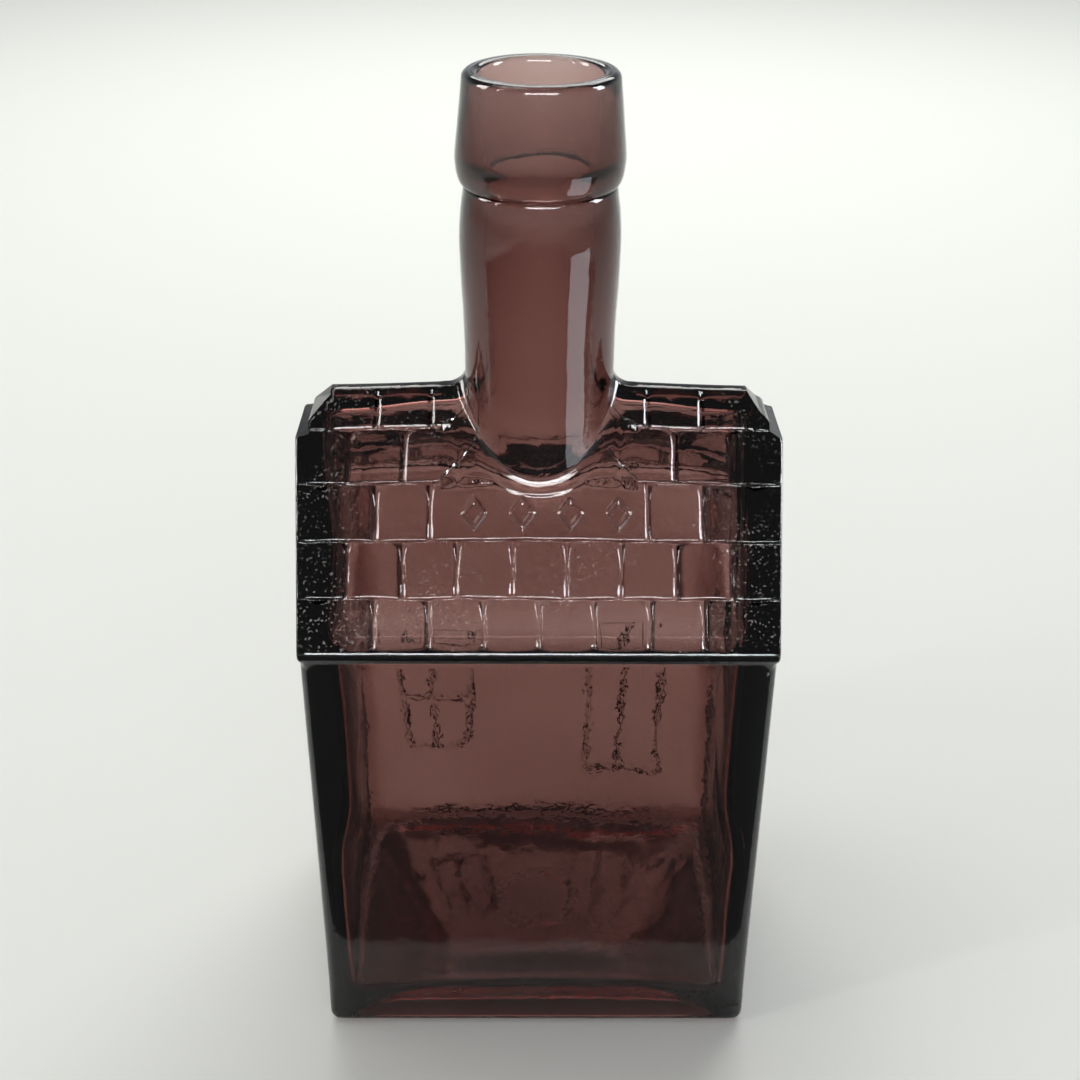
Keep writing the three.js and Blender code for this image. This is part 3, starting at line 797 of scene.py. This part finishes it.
def floor_height(cabin, hollow, x, y):
    """Height of the hollow's floor. It arches over the push-up, also along the walls."""
    arch = max(1 - (x / (cabin.width / 2 - hollow.low_side)) ** 2, 0)
    dome = max(1 - (y / (cabin.depth / 2)) ** 2, 0)
    return hollow.floor + hollow.kick * arch * (FLOOR_WALL_SHARE + FLOOR_DOME_SHARE * dome)


def hollow_rings(sizes, neck, count):
    """Rings of points from the bore out along the ceiling, down the walls and in over the floor."""
    cabin, _, hollow = sizes
    shares = [i / count for i in range(count)]

    def outline(share, height, inset, narrow=1.0):
        thick = mix(hollow.low_side, hollow.side, smooth(hollow.thin_below, hollow.thick_above, height))
        across = cabin.width / 2 - thick - inset
        along = cabin.depth / 2 - hollow.face - inset * narrow
        radius = max(hollow.corner - inset * 0.6, LEAST_CORNER)
        return rounded_rectangle(across, along, radius, share)

    def rippled(point, height, depth):
        out = point.normalized()
        return point + out * hollow.ripple * depth * wave(point.x, point.y, height, 17 * MM, 5)

    def settled(x, y, z):
        """Widens the hollow under the ridge, and steps it out over the eave as the outside does."""
        ends = hollow.roof_ends * smooth(*WIDER_HEIGHTS, z) * smooth(*WIDER_REACH, abs(x))
        step = smooth(*STEP_START, z) * smooth(*STEP_END, z)
        face = hollow.eave_step * step * smooth(*STEP_REACH, abs(y))
        return Vector((x + math.copysign(ends, x), y + math.copysign(face, y), z))

    rings = []
    for j in range(1, THROAT_RINGS + 1):
        turn = j / THROAT_RINGS * QUARTER
        radius = neck.bore + hollow.throat * (1 - math.cos(turn))
        lift = hollow.throat * (1 - math.sin(turn))
        places = []
        for share in shares:
            x, y = radius * math.cos(2 * HALF_TURN * share), radius * math.sin(2 * HALF_TURN * share)
            places.append(Vector((x, y, ceiling_height(cabin, hollow, x, y) + lift)))
        rings.append(places)
    rim = [Vector((point.x, point.y)) for point in rings[-1]]
    high = cabin.eave_height
    edge = hollow.edge_round
    inner = [outline(share, high, edge, EAVE_NARROW) for share in shares]
    for j in range(1, CEILING_RINGS + 1):
        share = (j / CEILING_RINGS) ** 0.9
        places = []
        for low, far in zip(rim, inner):
            plan = low.lerp(far, share)
            lift = 0.6 * hollow.ripple * smooth(0, 0.3, share) * wave(plan.x, plan.y, 0, 15 * MM, 23)
            places.append(settled(plan.x, plan.y, ceiling_height(cabin, hollow, plan.x, plan.y) + lift))
        rings.append(places)
    for j in range(1, ROUND_RINGS + 1):
        turn = j / ROUND_RINGS * QUARTER
        places = []
        for share in shares:
            inset = edge * (1 - math.sin(turn))
            plan = rippled(outline(share, high, inset, EAVE_NARROW), high, j / ROUND_RINGS)
            facing = smooth(0.8, 0.97, abs(plan.y) / (cabin.depth / 2 - hollow.face))
            drop = edge * (1 - math.cos(turn)) * mix(1, EAVE_NARROW, facing)
            places.append(settled(plan.x, plan.y, ceiling_height(cabin, hollow, plan.x, plan.y) - drop))
        rings.append(places)
    tops = [point.z for point in rings[-1]]
    low = hollow.floor + hollow.floor_round
    for share in WALL_SHARES:
        places = []
        for around, top in zip(shares, tops):
            inset = outline(around, low, 0)
            height = mix(top, low + floor_height(cabin, hollow, inset.x, inset.y) - hollow.floor, share)
            plan = rippled(outline(around, height, 0), height, 1)
            places.append(settled(plan.x, plan.y, height))
        rings.append(places)
    for j in range(1, ROUND_RINGS + 1):
        turn = j / ROUND_RINGS * QUARTER
        places = []
        for share in shares:
            inset = hollow.floor_round * (1 - math.cos(turn))
            plan = rippled(outline(share, low, inset), low, 1 - j / ROUND_RINGS)
            drop = hollow.floor_round * math.sin(turn)
            base = floor_height(cabin, hollow, plan.x, plan.y) - hollow.floor
            places.append(Vector((plan.x, plan.y, low + base - drop)))
        rings.append(places)
    edge_plan = [Vector((point.x, point.y)) for point in rings[-1]]
    for j in range(1, FLOOR_RINGS + 1):
        share = 1 - FLOOR_SHARE * j / FLOOR_RINGS
        places = [(plan.x * share, plan.y * share) for plan in edge_plan]
        rings.append([Vector((x, y, floor_height(cabin, hollow, x, y))) for x, y in places])
    return rings


def keep_piece(bm, name, material, slot, *nodes):
    """Turns a finished mesh into a piece that rides on the body and stands for its solids."""
    mesh = bpy.data.meshes.new(name)
    bm.to_mesh(mesh)
    bm.free()
    mesh.materials.append(material)
    piece = bpy.data.objects.new(name, mesh)
    bpy.context.scene.collection.objects.link(piece)
    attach(piece, BODY)
    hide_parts(*nodes)
    return piece


def turn_round(bm, outline, steps):
    """Turns an outline all the way round the upright axis, and closes the ring."""
    bmesh.ops.spin(bm, geom=outline, cent=(0, 0, 0), axis=(0, 0, 1), angle=2 * HALF_TURN, steps=steps,
                   use_merge=True)
    bmesh.ops.remove_doubles(bm, verts=bm.verts[:], dist=MERGE)


def feed(tree, node, values):
    """Gives each named input of a node a plain value, or a link from another node's socket."""
    for key, value in values.items():
        if isinstance(value, bpy.types.NodeSocket):
            tree.links.new(value, node.inputs[key])
        else:
            node.inputs[key].default_value = value


def new_node(tree, kind, values=None, **settings):
    """Adds a node with its settings, and feeds its inputs."""
    node = tree.nodes.new(kind)
    for name, value in settings.items():
        setattr(node, name, value)
    feed(tree, node, values or {})
    return node


def worked(tree, operation, *values):
    """A maths node over plain values or sockets."""
    return new_node(tree, "ShaderNodeMath", dict(enumerate(values)), operation=operation).outputs[0]


def ripple_group():
    """Shared surface of blown glass: soft ripples, fine hammering, dull scuffs and specks of dust."""
    known = bpy.data.node_groups.get("blown_surface")
    if known:
        return known
    group = bpy.data.node_groups.new("blown_surface", "ShaderNodeTree")
    sockets = {
        "INPUT": ("Ripple Size", "Scuff Amount", "Dust Amount"),
        "OUTPUT": ("Height", "Roughness", "Dust"),
    }
    for way, names in sockets.items():
        for name in names:
            group.interface.new_socket(name=name, in_out=way, socket_type="NodeSocketFloat")
    given, result = new_node(group, "NodeGroupInput"), new_node(group, "NodeGroupOutput")
    place = new_node(group, "ShaderNodeTexCoord").outputs["Object"]

    def mottle(size, detail):
        values = {"Vector": place, "Scale": size, "Detail": detail}
        return new_node(group, "ShaderNodeTexNoise", values).outputs["Fac"]

    def mask(value, low, high):
        values = {"Value": value, "From Min": low, "From Max": high}
        return new_node(group, "ShaderNodeMapRange", values).outputs["Result"]

    ripples = mottle(given.outputs["Ripple Size"], 1.0)
    scuffs = mask(mottle(900, 5.0), 0.62, 0.78)
    facing = new_node(group, "ShaderNodeNewGeometry").outputs["Normal"]
    upward = new_node(group, "ShaderNodeSeparateXYZ", {0: facing}).outputs["Z"]
    specks, patches = mask(mottle(1900, 0.0), 0.69, 0.74), mask(mottle(70, 2.0), 0.46, 0.62)
    dust = given.outputs["Dust Amount"]
    for share in (specks, patches, mask(upward, 0.1, 0.5)):
        dust = worked(group, "MULTIPLY", dust, share)
    feed(group, result, {
        "Height": worked(group, "MULTIPLY_ADD", mottle(420, 2.0), 0.17, ripples),
        "Roughness": worked(group, "MULTIPLY_ADD", scuffs, given.outputs["Scuff Amount"], 0.015),
        "Dust": dust,
    })
    return group


def glass_material(name, looks, tint, ripple_size, bump, scuffs, dust):
    """Tinted glass: the colour comes from how deep the light goes through it."""
    material = bpy.data.materials.new(name)
    material.use_nodes = True
    tree = material.node_tree
    surface = tree.nodes["Principled BSDF"]
    amounts = {"Ripple Size": ripple_size, "Scuff Amount": scuffs, "Dust Amount": dust}
    blown = new_node(tree, "ShaderNodeGroup", amounts, node_tree=ripple_group())
    relief = new_node(
        tree, "ShaderNodeBump", {"Strength": 1, "Distance": bump, "Height": blown.outputs["Height"]})
    feed(tree, surface, {
        "Base Color": (1, 1, 1, 1),
        "Metallic": 0,
        "Transmission Weight": 1,
        "IOR": looks.refraction,
        "Normal": relief.outputs["Normal"],
        "Roughness": blown.outputs["Roughness"],
    })
    shade = new_node(tree, "ShaderNodeBsdfTransparent", {"Color": (*looks.shade, 1)})
    light = new_node(tree, "ShaderNodeLightPath").outputs["Is Shadow Ray"]
    either = new_node(tree, "ShaderNodeMixShader", {0: light, 1: surface.outputs[0], 2: shade.outputs[0]})
    powder = new_node(tree, "ShaderNodeBsdfDiffuse", {"Color": DUST_COLOUR})
    dusty = new_node(
        tree, "ShaderNodeMixShader", {0: blown.outputs["Dust"], 1: either.outputs[0], 2: powder.outputs[0]})
    depth = new_node(tree, "ShaderNodeVolumeAbsorption", {"Color": (*tint, 1), "Density": looks.density})
    feed(tree, tree.nodes["Material Output"], {"Surface": dusty.outputs[0], "Volume": depth.outputs[0]})
    return material


class FlaskGlassOperator(bpy.types.Operator):
    """Builds the flask: cabin, neck and hollow in one skin of glass."""

    bl_idname = "cabin_flask.flask_glass"
    bl_label = "Flask glass"

    def execute(self, context):
        scene = context.scene
        sizes = scene.cabin_sizes, scene.shingle_sizes, scene.hollow_sizes
        neck, looks = scene.neck_sizes, scene.glass_looks
        bm, edges = cabin_skin(sizes)
        ring = number_ring(bm, edges)
        for places in neck_rings(sizes, neck, ring) + hollow_rings(sizes, neck, len(ring)):
            edges = grow(bm, edges, places)
        for face in bmesh.ops.edgeloop_fill(bm, edges=edges)["faces"]:
            face.smooth = True
        if any(edge.is_boundary for edge in bm.edges):
            raise RuntimeError("the flask's skin is open")
        bmesh.ops.recalc_face_normals(bm, faces=bm.faces[:])
        raise_lozenges(bm, scene.cabin_sizes, scene.shingle_sizes)
        glass = glass_material(
            "amethyst_glass", looks, looks.tint, ripple_size=55, bump=0.26 * MM, scuffs=0.12, dust=0.35)
        keep_piece(bm, "cabin_flask_glass", glass, "flask_glass", "flask_body")
        return {"FINISHED"}


class CollarOperator(bpy.types.Operator):
    """Builds the collar, a band of glass laid round the mouth and tooled."""

    bl_idname = "cabin_flask.collar_glass"
    bl_label = "Collar"

    def execute(self, context):
        neck, looks = context.scene.neck_sizes, context.scene.glass_looks
        foot = neck.height - neck.collar_height - neck.fused
        widest = foot + COLLAR_WIDEST_UP
        points = [(neck.collar_seat, foot + SUPPORT), (neck.collar_seat, foot),
                  (neck.collar_seat + SUPPORT, foot)]
        for i in range(9):
            turn = i / 8 * QUARTER
            points.append((neck.collar_foot + (neck.collar_widest - neck.collar_foot) * math.sin(turn),
                           widest - (widest - foot) * math.cos(turn)))
        lip = neck.height - neck.lip_round
        points += [(mix(neck.collar_widest, neck.collar_lip, share), mix(widest, lip, share))
                   for share in (0.12, 0.28, 0.46, 0.64, 0.82)]
        for i in range(7):
            turn = i / 6 * QUARTER
            points.append((neck.collar_lip - neck.lip_round * (1 - math.cos(turn)),
                           lip + neck.lip_round * math.sin(turn)))
        points += [(neck.collar_seat + SUPPORT, neck.height), (neck.collar_seat, neck.height),
                   (neck.collar_seat, neck.height - SUPPORT)]
        bm = bmesh.new()
        verts = [bm.verts.new((radius, 0, height)) for radius, height in points]
        edges = [bm.edges.new(pair) for pair in zip(verts, verts[1:] + verts[:1])]
        turn_round(bm, verts + edges, COLLAR_STEPS)
        for vert in bm.verts:
            reach = math.hypot(vert.co.x, vert.co.y)
            if reach > neck.collar_seat + COLLAR_SKIN:
                wobble = COLLAR_WOBBLE * (wave(vert.co.x, vert.co.y, vert.co.z * 0.6, 8 * MM, 31) - 1)
                vert.co.x *= 1 + wobble / reach
                vert.co.y *= 1 + wobble / reach
        bmesh.ops.recalc_face_normals(bm, faces=bm.faces[:])
        for face in bm.faces:
            face.smooth = True
        glass = glass_material(
            "collar_glass", looks, looks.tint, ripple_size=90, bump=0.3 * MM, scuffs=0.1, dust=0.2)
        keep_piece(bm, "applied_collar_glass", glass, "collar_glass", "applied_collar")
        return {"FINISHED"}


class ScarOperator(bpy.types.Operator):
    """Builds the ragged ring of glass that the holding rod left under the foot."""

    bl_idname = "cabin_flask.pontil_scar"
    bl_label = "Scar"

    def execute(self, context):
        looks, hollow = context.scene.glass_looks, context.scene.hollow_sizes
        fused = context.scene.neck_sizes.fused
        low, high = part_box("pontil_scar")
        middle = (high.x - low.x) / 2 - SCAR_INSET
        top = hollow.kick + fused
        bm = bmesh.new()
        ring = bmesh.ops.create_circle(bm, segments=SCAR_SIDES, radius=1)["verts"]
        for vert in ring:
            across, down = vert.co.x, vert.co.y
            vert.co = Vector((middle + SCAR_HALF_WIDTH * across, 0, top + SCAR_HALF_HEIGHT * (down - 1)))
        turn_round(bm, bm.verts[:] + bm.edges[:], SCAR_STEPS)
        for vert in bm.verts:
            x, y, z = vert.co
            turn = math.atan2(y, x)
            grow_by = 1 + 0.035 * math.sin(5 * turn) + 0.03 * wave(x, y, 0, 2.5 * MM, 41)
            share = (top - z) / (2 * SCAR_HALF_HEIGHT)
            chips = SCAR_CHIP * share * (wave(x, y, z, 1.3 * MM, 47) + 0.5 * wave(x, y, z, 0.5 * MM, 53))
            vert.co = Vector((x * grow_by, y * grow_by, min(z + chips, top)))
        bmesh.ops.recalc_face_normals(bm, faces=bm.faces[:])
        for face in bm.faces:
            face.smooth = False
        glass = glass_material(
            "broken_glass", looks, looks.scar_tint, ripple_size=700, bump=0.6 * MM, scuffs=1.2, dust=0)
        keep_piece(bm, "pontil_scar_glass", glass, "scar_glass", "pontil_scar")
        return {"FINISHED"}


class StageOperator(bpy.types.Operator):
    """Sets the floor, the light and the camera."""

    bl_idname = "cabin_flask.stage"
    bl_label = "Stage"

    def execute(self, context):
        looks = context.scene.stage_looks
        self.lay_sheet("studio_floor", FLOOR_SIZE, FLOOR_PLACE, self.floor_material(looks))
        # Painted shade: a dark card that shows only in the glass's reflections
        self.painted_shade_card()
        self.light_room(context.scene, looks)
        self.set_camera(context.scene, looks)
        context.scene.view_settings.view_transform = "Standard"
        return {"FINISHED"}

    def lay_sheet(self, name, size, place, material):
        bm = bmesh.new()
        bmesh.ops.create_grid(bm, x_segments=1, y_segments=1, size=size)
        mesh = bpy.data.meshes.new(name)
        bm.to_mesh(mesh)
        bm.free()
        mesh.materials.append(material)
        sheet = bpy.data.objects.new(name, mesh)
        sheet.location = place
        bpy.context.scene.collection.objects.link(sheet)
        return sheet

    def painted_shade_card(self):
        """A dark card on the camera's side, which shows only where the glass mirrors it: painted shade that
        stands in for the shaded floor in front of the flask.
        """
        material = bpy.data.materials.new("painted_shade_card")
        material.use_nodes = True
        tree = material.node_tree
        feed(tree, tree.nodes["Principled BSDF"], {"Base Color": PAINTED_SHADE_COLOUR, "Roughness": 0.9})
        card = self.lay_sheet("painted_shade_card", CARD_SIZE, CARD_PLACE, material)
        card.visible_camera = card.visible_diffuse = card.visible_transmission = card.visible_shadow = False
        return card

    def floor_material(self, looks):
        """A matt floor that fades into the pale distance, past what the lamps reach."""
        material = bpy.data.materials.new("pale_floor")
        material.use_nodes = True
        tree = material.node_tree
        surface = tree.nodes["Principled BSDF"]
        feed(tree, surface, {"Base Color": (*looks.floor, 1), "Roughness": 0.75})
        place = new_node(tree, "ShaderNodeTexCoord").outputs["Object"]
        reach = new_node(tree, "ShaderNodeVectorMath", {0: place}, operation="LENGTH").outputs["Value"]
        far = new_node(tree, "ShaderNodeMapRange", {"Value": reach, "From Min": 0.8, "From Max": 2.4},
                       interpolation_type="SMOOTHSTEP")
        path = new_node(tree, "ShaderNodeLightPath").outputs
        seen = worked(tree, "MAXIMUM", path["Is Camera Ray"], path["Is Glossy Ray"])
        through = worked(tree, "MAXIMUM", seen, path["Is Transmission Ray"])
        share = worked(tree, "MULTIPLY", through, far.outputs["Result"])
        distance = new_node(tree, "ShaderNodeEmission", {"Color": (*looks.floor, 1)})
        either = new_node(
            tree, "ShaderNodeMixShader", {0: share, 1: surface.outputs[0], 2: distance.outputs[0]})
        feed(tree, tree.nodes["Material Output"], {"Surface": either.outputs[0]})
        return material

    def light_room(self, scene, looks):
        """Light from all round, pale at the horizon and dimmer overhead, and soft lamps."""
        world = bpy.data.worlds.new("pale_room")
        world.use_nodes = True
        tree = world.node_tree
        place = new_node(tree, "ShaderNodeTexCoord").outputs["Generated"]
        height = new_node(tree, "ShaderNodeSeparateXYZ", {0: place}).outputs["Z"]
        fade = new_node(tree, "ShaderNodeMapRange", {
            "Value": height, "From Min": 0.05, "From Max": 0.45,
            "To Min": looks.horizon, "To Max": looks.overhead})
        room = tree.nodes["Background"]
        feed(tree, room, {"Color": (*looks.sky, 1), "Strength": fade.outputs["Result"]})
        scene.world = world
        for name, place, aim, width, height, power, colour, shine in LAMPS:
            lamp = bpy.data.lights.new(name, "AREA")
            lamp.shape = "RECTANGLE"
            lamp.size, lamp.size_y = width, height
            lamp.energy, lamp.color = power, colour
            holder = bpy.data.objects.new(name, lamp)
            holder.location = place
            holder.rotation_euler = (Vector(aim) - Vector(place)).to_track_quat("-Z", "Y").to_euler()
            holder.visible_camera = False
            holder.visible_diffuse = holder.visible_transmission = not shine
            scene.collection.objects.link(holder)

    def set_camera(self, scene, looks):
        camera = bpy.data.cameras.new("photo_camera")
        camera.lens, camera.sensor_width, camera.shift_y = looks.lens, SENSOR, looks.shift
        camera.clip_start, camera.clip_end = CLIP
        holder = bpy.data.objects.new("photo_camera", camera)
        level = math.cos(looks.pitch)
        back = Vector((level * math.sin(looks.turn), -level * math.cos(looks.turn), math.sin(looks.pitch)))
        aim = Vector((looks.aim_place, 0, looks.aim_height))
        facing = back.to_track_quat("Z", "Y").to_matrix().to_4x4()
        roll = Matrix.Rotation(looks.roll, 4, "Z")
        holder.matrix_world = Matrix.Translation(aim + back * looks.distance) @ facing @ roll
        scene.collection.objects.link(holder)
        scene.camera = holder


# Soft lamps: place, aim, width, height, power, colour, and whether only its mirror image shows
LAMPS = (
    ("sky_behind", (0.1, 0.95, 1.0), (0, 0.28, 0), 1.3, 0.8, 14.5, (1.0, 1.0, 0.97), False),
    ("ceiling_soft", (-0.5, 0.1, 1.3), (0, 0.1, 0.05), 0.6, 0.6, 3, (1.0, 0.99, 0.96), False),
    ("fill_front", (0.1, -1.3, 0.52), (0, 0, 0.1), 1.3, 0.12, 4.5, (0.95, 0.98, 1.0), False),
    ("strip_left", (-0.8, -0.35, 0.5), (0, 0, 0.1), 0.05, 0.5, 1.2, (1.0, 0.97, 0.93), False),
    ("strip_front", (0.05, -1.1, 0.5), (0, 0, 0.11), 0.9, 0.36, 15, (0.96, 0.99, 1.0), True),
    ("window_neck", (0.17, -0.115, 0.055), (0, 0, 0.1), 0.11, 0.12, 0.13, (0.88, 0.94, 1.0), True),
    ("window_right", (0.5, 0.02, 0.33), (0, 0, 0.11), 0.16, 0.3, 3.2, (0.88, 0.94, 1.0), True),
    ("window_left", (-0.5, 0.02, 0.34), (0, 0, 0.11), 0.16, 0.28, 2.0, (1.0, 0.98, 0.95), True),
)


class CabinFlaskPanel(bpy.types.Panel):
    """Lists the steps that build the flask."""

    bl_idname = "VIEW3D_PT_cabin_flask"
    bl_label = "Cabin flask"
    bl_space_type = "VIEW_3D"
    bl_region_type = "UI"
    bl_category = "Cabin flask"

    def draw(self, context):
        for step in STEPS:
            self.layout.operator(step.bl_idname)
        for name in GROUPS:
            sizes = getattr(context.scene, name)
            box = self.layout.box()
            for key in sizes.__annotations__:
                box.prop(sizes, key)


GROUPS = {
    "cabin_sizes": CabinSizes,
    "shingle_sizes": ShingleSizes,
    "neck_sizes": NeckSizes,
    "hollow_sizes": HollowSizes,
    "glass_looks": GlassLooks,
    "stage_looks": StageLooks,
}
STEPS = (FlaskGlassOperator, CollarOperator, ScarOperator, StageOperator)


def register():
    for kind in (*GROUPS.values(), *STEPS, CabinFlaskPanel):
        bpy.utils.register_class(kind)
    for name, kind in GROUPS.items():
        setattr(bpy.types.Scene, name, bpy.props.PointerProperty(type=kind))


def unregister():
    for name in GROUPS:
        delattr(bpy.types.Scene, name)
    for kind in (CabinFlaskPanel, *reversed(STEPS), *reversed(list(GROUPS.values()))):
        bpy.utils.unregister_class(kind)


def main():
    register()
    bpy.ops.cabin_flask.flask_glass()
    bpy.ops.cabin_flask.collar_glass()
    bpy.ops.cabin_flask.pontil_scar()
    bpy.ops.cabin_flask.stage()


if __name__ == "__main__":
    main()
